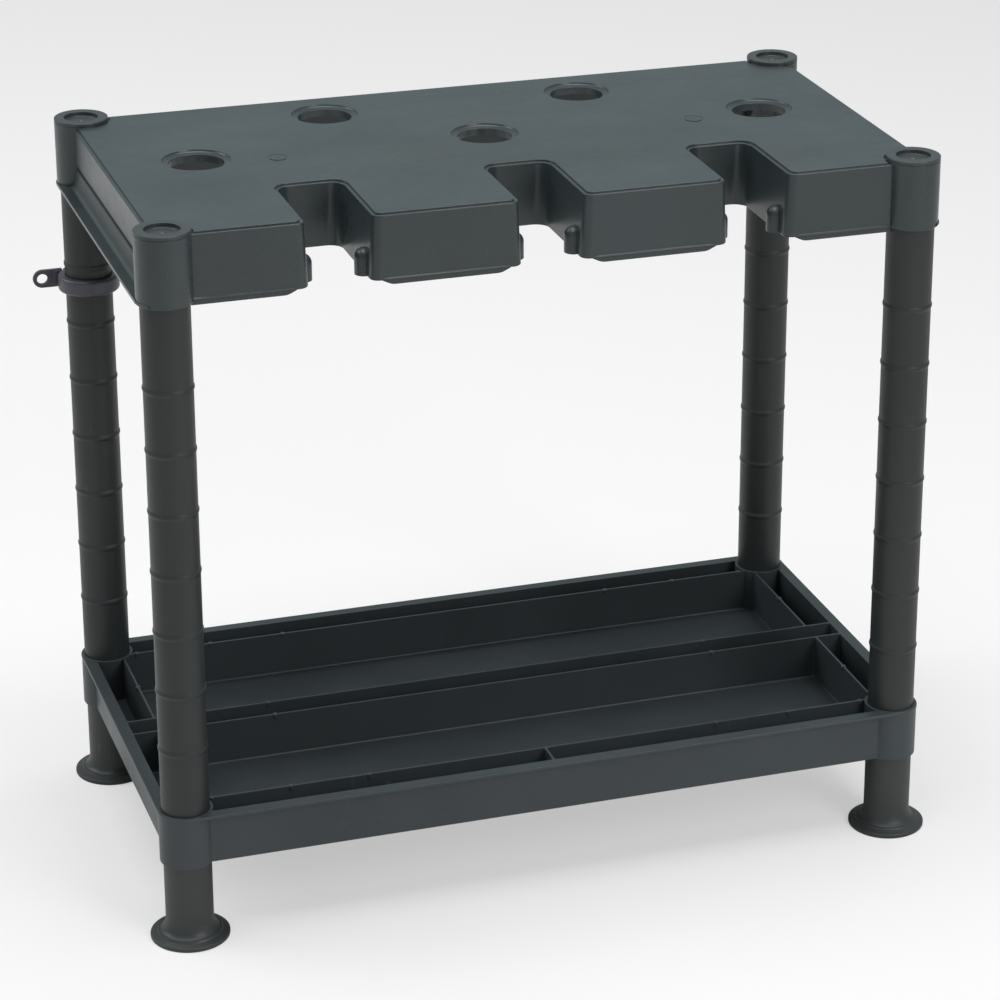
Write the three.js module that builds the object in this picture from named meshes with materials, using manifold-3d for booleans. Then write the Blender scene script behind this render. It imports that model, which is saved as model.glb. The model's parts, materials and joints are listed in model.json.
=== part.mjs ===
// Freestanding garden tool rack in injection-moulded plastic: a slotted and drilled top panel
// and a ribbed tray, joined by four push-fit tube legs, with four feet, four end caps and a
// wall clip that turns on the back left leg. Millimetres, +Z up, the floor at z = 0.
import * as THREE from 'three';
import { mergeVertices } from 'three/addons/utils/BufferGeometryUtils.js';
import Module from 'manifold-3d';

const wasm = await Module();
wasm.setup();

// Driving dimensions
const rack = {
  height: 550,            // floor to the top of the caps
  legSpacingX: 560,       // leg axis to leg axis, along the front
  legSpacingY: 280,       // leg axis to leg axis, front to back
  trayTop: 105,           // floor to the rim of the tray
  fitGap: 0.3,            // all round a tube in its sleeve
  seatGap: 0.3,           // between a tube's end and the stop that it seats on
  overrun: 6,             // how far a cutter runs past the face that it cuts
};

const leg = {
  radius: 17.8,
  wall: 2.2,
  ringPitch: 46.5,        // centre to centre of the raised rings
  ringStart: 50.5,        // tray rim to the lowest ring
  ringTopClear: 50,       // least plain length under the panel
  ringHeight: 5.6,
  ringProud: 1.05,
  ringBevel: 1.7,
};

const sleeve = {
  radius: 20.2,           // outside of the leg sleeves of panel and tray
  proud: 0.4,             // sleeve end past the edge of the panel or tray
  stopThickness: 2.4,
  stopBore: 13.8,         // radius of the hole through a stop
};

const panel = {
  endOverhang: 9,         // leg axis to the end face
  frontOverhang: 6,       // leg axis to the front face, and to the back face
  depth: 49.5,            // raised field to the lower edge of the apron
  wall: 2.2,
  plateThickness: 3.2,
  ledgeWidth: 2.6,        // narrow ledge all round the raised field
  ledgeDrop: 1.4,
  capRelief: 1.5,         // groove between the raised field and each sleeve
  ribThickness: 1.8,
  ribDepth: 4.5,
};

const endRail = {
  flangeAboveEdge: 2.8,   // flange top above the lower edge of the apron
  flangeProud: 1.2,       // flange past the outside of the sleeves
  wrapInset: 14.5,        // leg axis to the end of the flange's turn round the sleeve
  wrapStep: 0.3,          // turn of the flange inside the flange's upper and lower faces
  coveWidth: 4.8,
  coveHeight: 13,
  grooveHeight: 4.6,
  grooveDepth: 1,
  grooveAboveCove: 1.6,
};

const slot = {
  pitch: 156,
  width: 48.5,
  depth: 86,
  backRadius: 10,
  mouthRadius: 7,
  draft: 2.2,             // lean of each side wall into the slot, at the lower edge of the apron
  guideRadius: 7,         // half-round guide on each side wall
  guideSetback: 20.8,     // front face to the axis of the guide
  guideHeight: 19.5,
  guideDrop: 0.3,         // guide below the lower edge of the apron
};

const lip = {
  thickness: 2,
  setback: 1.5,           // behind the front face
  drop: 4,                // below the lower edge of the apron
  root: 3,                // above that edge, inside the apron
  endInset: 6,            // side of a block to the slanted end, at its root
  slantRun: 9,
};

const hole = {
  radius: 20.4,
  leadRadius: 25.4,       // funnel at the top of the hole
  leadDepth: 2.8,
  collarDepth: 8,         // raised field to the lower end of the collar
  frontRowPitch: 220,
  frontRowY: 16.5,
  backRowPitch: 202,
  backRowY: 101,
};

const tray = {
  depth: 41,              // rim to the lower edge
  rimWidth: 9.5,          // flat rim, outer edge to the inner face of the wall
  rimThickness: 2.4,
  rimProud: 0.4,          // rim past the outside of the sleeves
  wall: 2.2,
  floorTop: 34.8,         // floor below the rim
  floorThickness: 2.4,
  ribThickness: 1.9,
  channelWidth: 20,       // between the wall and the ribs round the wells
  bossRadius: 2.3,
  bossProud: 0.3,         // boss above the ribs
  bossEndInset: 33,       // inner wall to the outermost boss
  bossPitch: 60,
  bossSideRise: 58,       // middle rib to the boss on a side rib
  bossMiddleInset: 111,   // inner wall to the boss on a middle rib
  legSocket: 19.6,        // rim to the stop under the leg
};

const foot = {
  radius: 29.5,
  edgeHeight: 3.4,
  edgeBevel: 0.9,
  ridgeRadius: 23.5,      // low ridge round the root of the flare
  ridgeHeight: 6,
  flareHeight: 17,
  baseThickness: 3,
};

const cap = {
  flangeThickness: 2.7,
  edgeBevel: 0.6,
  plugLength: 4.5,
  plugWall: 2.2,
  dishRadius: 12.8,
  dishDepth: 3,
  floorThickness: 1.8,
  nubRadius: 2.6,
  nubHeight: 1.5,
};

const clip = {
  runningGap: 0.4,
  wall: 5.2,
  height: 12.4,
  edgeBevel: 1.6,
  mouthAngle: 84,         // open sector of the collar, in degrees
  beadRadius: 2.9,        // rounded ends of the collar
  belowRing: 5.1,         // top ring of the leg to the top of the tab
  tabHalfHeight: 7.1,
  tabThickness: 3.2,
  tabSetback: 14.6,       // leg axis to the middle of the tab, towards the wall
  tabReach: 33.4,         // leg axis to the screw eye
  eyeRadius: 4.2,
  rootThickness: 5,       // thicker root between tab and collar
  rootReach: 25,
};

// Facets round each kind of curve
const facets = {
  tube: 16,
  hole: 18,
  guide: 10,
  guideCore: 6,
  boss: 6,
  collar: 20,
  corner: 4,
  dome: 3,
  cove: 4,
  tabEnd: 12,
};

// Heights and places that follow from the sizes above
const legX = rack.legSpacingX / 2;
const legY = rack.legSpacingY / 2;
const legPlaces = {
  front_left: [-legX, -legY],
  front_right: [legX, -legY],
  back_left: [-legX, legY],
  back_right: [legX, legY],
};
const boreRadius = leg.radius + rack.fitGap;
const panelTop = rack.height - cap.flangeThickness - rack.seatGap;
const panelUnder = panelTop - panel.plateThickness;
const panelLow = panelTop - panel.depth;
const panelStopTop = panelTop - cap.plugLength;
const panelStopLow = panelStopTop - sleeve.stopThickness;
const trayLow = rack.trayTop - tray.depth;
const trayStopTop = rack.trayTop - tray.legSocket;
const trayStopLow = trayStopTop - sleeve.stopThickness;
const firstRing = rack.trayTop + leg.ringStart;
const ringRoom = panelLow - leg.ringTopClear - firstRing;
const ringCount = Math.max(1, Math.floor(ringRoom / leg.ringPitch) + 1);
const ringHeights = Array.from({ length: ringCount }, (_, i) => firstRing + i * leg.ringPitch);
const clipHeight = ringHeights.at(-1) - leg.ringHeight / 2 - clip.belowRing - clip.tabHalfHeight;

// Colours and finishes, one for each kind of moulding
const finishes = {
  panel: { color: 0x3f4547, roughness: 0.5, metalness: 0 },
  tray: { color: 0x3a4042, roughness: 0.5, metalness: 0 },
  tube: { color: 0x35393a, roughness: 0.45, metalness: 0 },
  cap: { color: 0x42494b, roughness: 0.42, metalness: 0 },
  clip: { color: 0x33323a, roughness: 0.4, metalness: 0 },
};

// Solids

// A closed geometry as a solid, with its shared corners merged and empty triangles dropped.
function solidOf(geometry) {
  const bare = geometry.clone();
  bare.deleteAttribute('normal');
  bare.deleteAttribute('uv');
  const merged = mergeVertices(bare);
  const corners = [];
  for (let i = 0; i < merged.index.count; i += 3) {
    const [a, b, c] = [merged.index.getX(i), merged.index.getX(i + 1), merged.index.getX(i + 2)];
    if (a !== b && b !== c && c !== a) corners.push(a, b, c);
  }
  const mesh = new wasm.Mesh({
    numProp: 3,
    vertProperties: new Float32Array(merged.attributes.position.array),
    triVerts: new Uint32Array(corners),
  });
  return new wasm.Manifold(mesh);
}

function geometryOf(solid) {
  const mesh = solid.getMesh();
  const geometry = new THREE.BufferGeometry();
  geometry.setAttribute('position', new THREE.BufferAttribute(new Float32Array(mesh.vertProperties), 3));
  geometry.setIndex(new THREE.BufferAttribute(new Uint32Array(mesh.triVerts), 1));
  geometry.computeVertexNormals();
  return geometry;
}

const joined = (solids) => solids.reduce((sum, next) => sum.add(next));
const point = (x, y) => new THREE.Vector2(x, y);
const oneSide = [1];
const bothSides = [-1, 1];

// Points of an arc, from one angle to another in degrees, stretched in y by yShare.
function arc(x, y, radius, from, to, steps, yShare = 1) {
  return Array.from({ length: steps + 1 }, (_, i) => {
    const angle = THREE.MathUtils.degToRad(from + ((to - from) * i) / steps);
    return point(x + radius * Math.cos(angle), y + radius * yShare * Math.sin(angle));
  });
}

function roundedRectangle(halfX, halfY, radius) {
  const [x, y] = [halfX - radius, halfY - radius];
  const steps = facets.tube / 4;
  return [
    ...arc(x, y, radius, 0, 90, steps),
    ...arc(-x, y, radius, 90, 180, steps),
    ...arc(-x, -y, radius, 180, 270, steps),
    ...arc(x, -y, radius, 270, 360, steps),
  ];
}

function extruded(outline, length) {
  return new THREE.ExtrudeGeometry(new THREE.Shape(outline), { depth: length, bevelEnabled: false });
}

// An outline in x and y, raised from one height to another.
function prism(outline, low, high) {
  return solidOf(extruded(outline, high - low).translate(0, 0, low));
}

// Two outlines with the same number of corners, at two heights, joined by straight walls.
function drafted(lower, upper, low, high) {
  const count = lower.length;
  const corners = [];
  for (const [a, b, c] of THREE.ShapeUtils.triangulateShape(lower, [])) corners.push(c, b, a);
  for (const [a, b, c] of THREE.ShapeUtils.triangulateShape(upper, [])) {
    corners.push(count + a, count + b, count + c);
  }
  for (let i = 0; i < count; i += 1) {
    const next = (i + 1) % count;
    corners.push(i, next, count + next, i, count + next, count + i);
  }
  const heights = [...lower.map((p) => [p.x, p.y, low]), ...upper.map((p) => [p.x, p.y, high])];
  const geometry = new THREE.BufferGeometry();
  geometry.setAttribute('position', new THREE.BufferAttribute(new Float32Array(heights.flat()), 3));
  geometry.setIndex(corners);
  return solidOf(geometry);
}

// An outline in x and z, run along y.
function prismAlongY(outline, near, far) {
  return solidOf(extruded(outline, far - near).rotateX(Math.PI / 2).translate(0, far, 0));
}

// A profile of radius and height turned about z, drawn upwards on its outside.
function revolved(profile, steps) {
  return new THREE.LatheGeometry(profile, steps).rotateX(Math.PI / 2);
}

function cylinder(radius, low, high, steps = facets.tube) {
  return revolved([point(0, low), point(radius, low), point(radius, high), point(0, high)], steps);
}

// One shape, set down at each place in plan.
function copies(geometry, places) {
  return joined(places.map(([x, y]) => solidOf(geometry.clone().translate(x, y, 0))));
}

const atLegs = (geometry) => copies(geometry, Object.values(legPlaces));

// Boxes that span [near, far] in x and y on the given sides of the middle planes.
function boxes(x, y, z, sidesX = oneSide, sidesY = oneSide) {
  const [spanX, spanY, spanZ] = [x, y, z].map(([near, far]) => far - near);
  const [midX, midY, midZ] = [x, y, z].map(([near, far]) => (near + far) / 2);
  const places = sidesX.flatMap((sideX) => sidesY.map((sideY) => [sideX * midX, sideY * midY]));
  return copies(new THREE.BoxGeometry(spanX, spanY, spanZ).translate(0, 0, midZ), places);
}

// Cutter for a leg sleeve: a bore from both ends that leaves a stop for the tubes.
function boreCutter(low, stopLow, stopTop, high) {
  return revolved([
    point(0, low - rack.overrun),
    point(boreRadius, low - rack.overrun),
    point(boreRadius, stopLow),
    point(sleeve.stopBore, stopLow),
    point(sleeve.stopBore, stopTop),
    point(boreRadius, stopTop),
    point(boreRadius, high + rack.overrun),
    point(0, high + rack.overrun),
  ], facets.tube);
}

// Top panel

const panelX = legX + panel.endOverhang;
const panelY = legY + panel.frontOverhang;
const slotCentres = [-slot.pitch, 0, slot.pitch];

// Lean of the slots' side walls at a height, and where that puts the walls.
const slotLean = (z) => (slot.draft * (panelTop - z)) / panel.depth;

function slotSides(z) {
  const half = slot.width / 2 - slotLean(z);
  return slotCentres.flatMap((x) => [x - half, x + half]);
}

// Plan of the panel, drawn in by an inset all round, so that the slots widen by the same inset
// and narrow by the lean.
function panelOutline(inset, lean = 0) {
  const front = inset - panelY;
  const mouth = Math.max(slot.mouthRadius - inset, panel.wall);
  const half = slot.width / 2 + inset - lean;
  const back = slot.depth - panelY + inset;
  const corner = Math.min(slot.backRadius + inset, half);
  const slots = slotCentres.flatMap((x) => [
    ...arc(x - half - mouth, front + mouth, mouth, -90, 0, facets.corner),
    ...arc(x - half + corner, back - corner, corner, 180, 90, facets.corner),
    ...arc(x + half - corner, back - corner, corner, 90, 0, facets.corner),
    ...arc(x + half + mouth, front + mouth, mouth, 180, 270, facets.corner),
  ]);
  return [
    point(inset - panelX, front),
    ...slots,
    point(panelX - inset, front),
    point(panelX - inset, -front),
    point(inset - panelX, -front),
  ];
}

// The plan between two heights, with the slots' side walls leaning.
function panelPrism(inset, low, high) {
  return drafted(panelOutline(inset, slotLean(low)), panelOutline(inset, slotLean(high)), low, high);
}

// Round posts with domed tops, one on each side wall of the slots.
function guidePosts(radius, low, high, domeSteps, steps) {
  const sides = slotSides(panelLow - slot.guideDrop + slot.guideHeight / 2);
  const dome = arc(0, high - radius, radius, 0, 90, domeSteps).slice(0, -1);
  const post = revolved([point(0, low), point(radius, low), ...dome, point(0, high)], steps);
  return copies(post, sides.map((x) => [x, slot.guideSetback - panelY]));
}

// End of the panel in x and z: a coved foot that runs out into a flange with a turned-down edge.
function endRailProfile() {
  const flangeTop = panelLow + endRail.flangeAboveEdge;
  const flangeOut = legX + sleeve.radius + endRail.flangeProud;
  const coveTop = flangeTop + endRail.coveHeight;
  const outer = arc(panelX + endRail.coveWidth, coveTop, endRail.coveWidth, 180, 270, facets.cove,
    endRail.coveHeight / endRail.coveWidth);
  const innerWidth = endRail.coveWidth + panel.wall;
  const inner = arc(panelX + endRail.coveWidth, coveTop, innerWidth, 270, 180, facets.cove,
    (endRail.coveHeight + panel.wall) / innerWidth);
  const tongue = panel.wall / 4;
  return [
    point(panelX - panel.wall + tongue, coveTop + panel.wall),
    point(panelX - tongue, coveTop + panel.wall),
    ...outer,
    point(flangeOut, flangeTop),
    point(flangeOut, panelLow),
    point(flangeOut - panel.wall, panelLow),
    point(flangeOut - panel.wall, flangeTop - panel.wall),
    ...inner,
  ];
}

function mirrored(outline) {
  return outline.map((p) => point(-p.x, p.y)).reverse();
}

function frontLips() {
  const front = -panelY + lip.setback;
  const edges = [-legX, ...slotSides(panelLow), legX];
  const lips = [];
  for (let i = 0; i < edges.length; i += 2) {
    const inset = (atLeg) => (atLeg ? [0, 0] : [lip.endInset, lip.endInset + lip.slantRun]);
    const [leftRoot, leftLow] = inset(i === 0);
    const [rightRoot, rightLow] = inset(i === edges.length - 2);
    const outline = [
      point(edges[i] + leftRoot, panelLow + lip.root),
      point(edges[i] + leftRoot, panelLow),
      point(edges[i] + leftLow, panelLow - lip.drop),
      point(edges[i + 1] - rightLow, panelLow - lip.drop),
      point(edges[i + 1] - rightRoot, panelLow),
      point(edges[i + 1] - rightRoot, panelLow + lip.root),
    ];
    lips.push(prismAlongY(outline, front, front + lip.thickness));
  }
  return joined(lips);
}

const holePlaces = [
  [-hole.frontRowPitch, hole.frontRowY],
  [0, hole.frontRowY],
  [hole.frontRowPitch, hole.frontRowY],
  [-hole.backRowPitch / 2, hole.backRowY],
  [hole.backRowPitch / 2, hole.backRowY],
];

function holeCollars() {
  const outer = hole.radius + panel.wall;
  const collar = revolved([
    point(0, panelTop - hole.collarDepth),
    point(outer, panelTop - hole.collarDepth),
    point(outer, panelTop - hole.leadDepth - panel.wall),
    point(hole.leadRadius + panel.wall, panelTop - panel.wall),
    point(0, panelTop - panel.wall),
  ], facets.hole);
  return copies(collar, holePlaces);
}

function holeCutters() {
  const cutter = revolved([
    point(0, panelTop - hole.collarDepth - rack.overrun),
    point(hole.radius, panelTop - hole.collarDepth - rack.overrun),
    point(hole.radius, panelTop - hole.leadDepth),
    point(hole.leadRadius, panelTop),
    point(hole.leadRadius, panelTop + rack.overrun),
    point(0, panelTop + rack.overrun),
  ], facets.hole);
  return copies(cutter, holePlaces);
}

// Shallow ribs under the plate: one along the rack, and one behind each slot and over each block.
function panelRibs() {
  const z = [panelUnder - panel.ribDepth, panelUnder + panel.plateThickness / 2];
  const half = panel.ribThickness / 2;
  const along = (hole.frontRowY + hole.backRowY) / 2;
  const ribs = boxes([-panelX, panelX], [along - half, along + half], z)
    .add(boxes([-half, half], [-panelY, panelY], z));
  return [slot.pitch / 2, slot.pitch]
    .reduce((sum, x) => sum.add(boxes([x - half, x + half], [-panelY, panelY], z, bothSides)), ribs)
    .intersect(panelPrism(panel.wall / 2, ...z));
}

// The flanges of the end rails, carried on round the outer side of each leg sleeve.
function flangeTurns() {
  const low = panelLow + endRail.wrapStep;
  const high = panelLow + endRail.flangeAboveEdge - endRail.wrapStep;
  const outside = [legX + endRail.wrapInset, panelX + sleeve.radius];
  return atLegs(cylinder(sleeve.radius + endRail.flangeProud, low, high))
    .intersect(boxes(outside, [-panelY * 2, panelY * 2], [panelLow, panelTop], bothSides));
}

function topPanel() {
  const ledgeTop = panelTop - panel.ledgeDrop;
  const relief = cylinder(sleeve.radius + panel.capRelief, panelLow, panelTop + rack.overrun);
  const field = prism(panelOutline(panel.ledgeWidth), panelUnder + panel.ledgeDrop / 2, panelTop)
    .subtract(atLegs(relief));
  const [guideLow, guideTop] = [panelLow - slot.guideDrop, panelLow - slot.guideDrop + slot.guideHeight];
  const posts = guidePosts(slot.guideRadius, guideLow, guideTop, facets.dome, facets.guide);
  const cores = guidePosts(slot.guideRadius - panel.wall, guideLow - rack.overrun, guideTop - panel.wall,
    1, facets.guideCore);
  const hollow = panelPrism(panel.wall, panelLow - rack.overrun, panelUnder);
  const coveTop = panelLow + endRail.flangeAboveEdge + endRail.coveHeight;
  const grooveLow = coveTop + endRail.grooveAboveCove;
  const grooveSpan = [grooveLow, grooveLow + endRail.grooveHeight];
  const beyond = panelX + rack.overrun;
  const inside = panelX - panel.wall - rack.overrun;
  const along = [-legY, legY];
  const endWalls = boxes([inside, beyond], along, [panelLow - rack.overrun, coveTop], bothSides);
  const grooves = boxes([panelX - endRail.grooveDepth, beyond], along, grooveSpan, bothSides);
  const bores = atLegs(boreCutter(panelLow, panelStopLow, panelStopTop, panelTop));
  const profile = endRailProfile();
  return panelPrism(0, panelLow, ledgeTop)
    .add(field)
    .add(posts)
    .subtract(hollow)
    .subtract(cores)
    .subtract(endWalls)
    .subtract(grooves)
    .add(prismAlongY(profile, ...along))
    .add(prismAlongY(mirrored(profile), ...along))
    .add(frontLips())
    .add(panelRibs())
    .add(holeCollars())
    .add(flangeTurns())
    .add(atLegs(cylinder(sleeve.radius, panelLow - sleeve.proud, panelTop)))
    .subtract(holeCutters())
    .subtract(bores);
}

// Tray

const rimRadius = sleeve.radius + tray.rimProud;
const wellX = legX + rimRadius - tray.rimWidth;
const wellY = legY + rimRadius - tray.rimWidth;
const sideRibX = wellX - tray.channelWidth - tray.ribThickness / 2;
const longRibY = wellY - tray.channelWidth - tray.ribThickness / 2;
const middleRibY = (tray.channelWidth + tray.ribThickness) / 2;

// Two long wells with a narrow channel round and between them; what stays between them are the ribs.
// A short rib parts the front channel in the middle.
function trayPockets() {
  const half = tray.ribThickness / 2;
  const z = [rack.trayTop - tray.floorTop, rack.trayTop + rack.overrun];
  return joined([
    boxes([half - sideRibX, sideRibX - half], [middleRibY + half, longRibY - half], z, oneSide, bothSides),
    boxes([half, legX], [-wellY, -longRibY - half], z, bothSides),
    boxes([-legX, legX], [longRibY + half, wellY], z),
    boxes([sideRibX + half, wellX], [middleRibY + half, legY], z, bothSides, bothSides),
    boxes([-wellX, wellX], [half - middleRibY, middleRibY - half], z),
  ]);
}

function trayBosses() {
  const low = rack.trayTop - tray.floorTop - tray.floorThickness / 2;
  const boss = cylinder(tray.bossRadius, low, rack.trayTop + tray.bossProud, facets.boss);
  const places = [0, 1, 2].map((i) => [wellX - tray.bossEndInset - i * tray.bossPitch, longRibY]);
  places.push([wellX - tray.bossMiddleInset, middleRibY], [sideRibX, middleRibY + tray.bossSideRise]);
  return copies(boss, places.flatMap(([x, y]) => [[x, y], [-x, y], [x, -y], [-x, -y]]));
}

function trayBody() {
  const rim = roundedRectangle(legX + rimRadius, legY + rimRadius, rimRadius);
  const [wallX, wallY] = [wellX + tray.wall, wellY + tray.wall];
  const under = rack.trayTop - tray.floorTop - tray.floorThickness;
  const bores = atLegs(boreCutter(trayLow, trayStopLow, trayStopTop, rack.trayTop));
  return prism(rim, rack.trayTop - tray.rimThickness, rack.trayTop)
    .add(boxes([-wallX, wallX], [-wallY, wallY], [trayLow, rack.trayTop - tray.rimThickness / 2]))
    .subtract(boxes([-wellX, wellX], [-wellY, wellY], [trayLow - rack.overrun, under]))
    .subtract(trayPockets())
    .add(trayBosses())
    .add(atLegs(cylinder(sleeve.radius, trayLow - sleeve.proud, rack.trayTop + sleeve.proud)))
    .subtract(bores);
}

// Tubes, feet and caps, each drawn about its own axis

function legTube() {
  const low = trayStopTop + rack.seatGap;
  const high = panelStopLow - rack.seatGap;
  const inner = leg.radius - leg.wall;
  const rings = ringHeights.flatMap((z) => [
    point(leg.radius, z - leg.ringHeight / 2),
    point(leg.radius + leg.ringProud, z - leg.ringHeight / 2 + leg.ringBevel),
    point(leg.radius + leg.ringProud, z + leg.ringHeight / 2 - leg.ringBevel),
    point(leg.radius, z + leg.ringHeight / 2),
  ]);
  return revolved([
    point(inner, low),
    point(leg.radius, low),
    ...rings,
    point(leg.radius, high),
    point(inner, high),
    point(inner, low),
  ], facets.tube);
}

function footTube() {
  const inner = leg.radius - leg.wall;
  const flareRun = foot.ridgeRadius - leg.radius;
  const flareRise = foot.flareHeight - foot.ridgeHeight;
  const flareShare = flareRise / flareRun;
  const flare = arc(foot.ridgeRadius, foot.flareHeight, flareRun, 270, 180, facets.cove, flareShare);
  const top = trayStopLow - rack.seatGap;
  return revolved([
    point(0, 0),
    point(foot.radius - foot.edgeBevel, 0),
    point(foot.radius, foot.edgeBevel),
    point(foot.radius, foot.edgeHeight - foot.edgeBevel),
    point(foot.radius - foot.edgeBevel, foot.edgeHeight),
    point(foot.ridgeRadius + foot.edgeBevel, (foot.edgeHeight + foot.ridgeHeight) / 2),
    ...flare,
    point(leg.radius, top),
    point(inner, top),
    point(inner, foot.baseThickness),
    point(0, foot.baseThickness),
  ], facets.tube);
}

function endCap() {
  const under = rack.height - cap.flangeThickness;
  const plug = leg.radius;
  const plugLow = under - cap.plugLength;
  const dish = rack.height - cap.dishDepth;
  const roof = dish - cap.floorThickness;
  return revolved([
    point(0, roof),
    point(plug - cap.plugWall, roof),
    point(plug - cap.plugWall, plugLow),
    point(plug, plugLow),
    point(plug, under),
    point(sleeve.radius, under),
    point(sleeve.radius, rack.height - cap.edgeBevel),
    point(sleeve.radius - cap.edgeBevel, rack.height),
    point(cap.dishRadius + cap.edgeBevel, rack.height),
    point(cap.dishRadius, rack.height - cap.edgeBevel),
    point(cap.dishRadius - cap.edgeBevel, dish),
    point(cap.nubRadius, dish),
    point(cap.nubRadius / 2, dish + cap.nubHeight),
    point(0, dish + cap.nubHeight),
  ], facets.tube);
}

// Wall clip, drawn about the leg's axis: a snap-on collar open towards the wall, and a screw tab.

function wallClip() {
  const inner = (leg.radius + clip.runningGap) / Math.cos(Math.PI / facets.collar);
  const outer = inner + clip.wall;
  const [low, high] = [clipHeight - clip.height / 2, clipHeight + clip.height / 2];
  const band = revolved([
    point(0, low),
    point(outer - clip.edgeBevel, low),
    point(outer, low + clip.edgeBevel),
    point(outer, high - clip.edgeBevel),
    point(outer - clip.edgeBevel, high),
    point(0, high),
  ], facets.collar);
  const reach = outer * 2;
  const half = THREE.MathUtils.degToRad(clip.mouthAngle / 2);
  const mouth = prism([
    point(0, 0),
    point(reach * Math.sin(half), reach * Math.cos(half)),
    point(-reach * Math.sin(half), reach * Math.cos(half)),
  ], low - rack.overrun, high + rack.overrun);
  const middle = (inner + outer) / 2;
  const beads = copies(cylinder(clip.beadRadius, low, high, facets.guide),
    bothSides.map((side) => [side * middle * Math.sin(half), middle * Math.cos(half)]));
  const bore = cylinder(inner, low - rack.overrun, high + rack.overrun, facets.collar);
  const tabOutline = [
    ...arc(-clip.tabReach, clipHeight, clip.tabHalfHeight, 90, 270, facets.tabEnd),
    point(-leg.radius, clipHeight - clip.tabHalfHeight),
    point(-leg.radius, clipHeight + clip.tabHalfHeight),
  ];
  const rootOutline = [
    point(-clip.rootReach, low),
    point(-leg.radius, low),
    point(-leg.radius, high),
    point(-clip.rootReach, high),
  ];
  const across = (outline, thickness) =>
    prismAlongY(outline, clip.tabSetback - thickness / 2, clip.tabSetback + thickness / 2);
  const eye = prismAlongY(arc(-clip.tabReach, clipHeight, clip.eyeRadius, 0, 360, facets.tabEnd).slice(0, -1),
    clip.tabSetback - rack.overrun, clip.tabSetback + rack.overrun);
  return solidOf(band)
    .subtract(mouth)
    .add(beads)
    .add(across(tabOutline, clip.tabThickness))
    .add(across(rootOutline, clip.rootThickness))
    .subtract(solidOf(bore))
    .subtract(eye);
}

// The rack, with the middle of its whole length on x = 0: the clip's tab reaches past the feet.

const rackGroup = new THREE.Group();
rackGroup.position.x = (clip.tabReach + clip.tabHalfHeight - foot.radius) / 2;

function place(name, geometry, finish, x = 0, y = 0) {
  const mesh = new THREE.Mesh(geometry, new THREE.MeshStandardMaterial(finishes[finish]));
  mesh.name = name;
  mesh.position.set(x, y, 0);
  rackGroup.add(mesh);
}

place('top_panel', geometryOf(topPanel()), 'panel');
place('tray', geometryOf(trayBody()), 'tray');
for (const [corner, [x, y]] of Object.entries(legPlaces)) {
  place(`leg_${corner}`, legTube(), 'tube', x, y);
  place(`foot_${corner}`, footTube(), 'tube', x, y);
  place(`cap_${corner}`, endCap(), 'cap', x, y);
}
place('wall_clip', geometryOf(wallClip()), 'clip', ...legPlaces.back_left);

export default rackGroup;
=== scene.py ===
import json
import math

import bmesh
import bpy
from mathutils import Matrix, Vector


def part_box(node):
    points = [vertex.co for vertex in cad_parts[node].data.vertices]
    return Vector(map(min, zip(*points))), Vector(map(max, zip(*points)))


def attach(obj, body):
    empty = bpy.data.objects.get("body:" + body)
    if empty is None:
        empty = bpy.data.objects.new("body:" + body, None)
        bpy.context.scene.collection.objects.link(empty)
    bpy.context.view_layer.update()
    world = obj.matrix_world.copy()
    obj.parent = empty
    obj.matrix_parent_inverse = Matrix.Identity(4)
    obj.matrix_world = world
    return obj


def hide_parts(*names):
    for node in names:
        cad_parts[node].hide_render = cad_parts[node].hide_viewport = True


# Garden tool rack in slate grey moulded plastic. Metres, the floor at z = 0, slots towards -Y.
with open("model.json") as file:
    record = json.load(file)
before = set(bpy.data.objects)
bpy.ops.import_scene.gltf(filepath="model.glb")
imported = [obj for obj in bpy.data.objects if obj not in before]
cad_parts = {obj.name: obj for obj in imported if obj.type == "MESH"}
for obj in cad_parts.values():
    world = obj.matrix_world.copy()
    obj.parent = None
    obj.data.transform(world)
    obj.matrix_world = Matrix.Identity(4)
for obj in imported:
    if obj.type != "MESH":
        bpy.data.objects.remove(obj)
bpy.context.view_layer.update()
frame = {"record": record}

cornerNames = ("front_left", "front_right", "back_left", "back_right")
legBoxes = {corner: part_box("leg_" + corner) for corner in cornerNames}
legAxes = {corner: (low + high) / 2 for corner, (low, high) in legBoxes.items()}
rackMiddle = sum(legAxes.values(), Vector()) / len(legAxes)
legX = legAxes["front_right"].x - rackMiddle.x
legY = rackMiddle.y - legAxes["front_right"].y
print("frame loaded, legs", round(2 * legX, 4), "x", round(2 * legY, 4))


# Camera, at the photograph's viewpoint

photoCamera = {
    "place": (-0.74423, -2.39718, 1.31352),
    "turn": -0.336,         # from looking along +Y, radians
    "tilt": -0.3814,
    "roll": -0.0079,
    "lens": 126.68,
    "shift": (-0.1, -0.06),
}


def addCamera():
    bpy.ops.object.camera_add(location=photoCamera["place"])
    camera = newest("photoCamera")
    upright = Matrix.Rotation(math.pi / 2, 4, "X")
    turn = Matrix.Rotation(photoCamera["turn"], 4, "Z")
    tilt = Matrix.Rotation(photoCamera["tilt"], 4, "X")
    roll = Matrix.Rotation(photoCamera["roll"], 4, "Y")
    camera.rotation_euler = (turn @ tilt @ roll @ upright).to_euler()
    camera.data.lens = photoCamera["lens"]
    camera.data.shift_x, camera.data.shift_y = photoCamera["shift"]
    camera.data.clip_end = 60
    bpy.context.scene.camera = camera
    print("camera placed")


# Modelling helpers

nearEnough = 1e-5             # heights and places closer than this count as one
flatNormal = 0.9              # height of the normal, from which on a face lies flat
uprightNormal = 0.1           # and below which it stands upright


def startFresh():
    if bpy.context.mode != "OBJECT":
        bpy.ops.object.mode_set(mode="OBJECT")
    bpy.ops.object.select_all(action="DESELECT")


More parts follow.
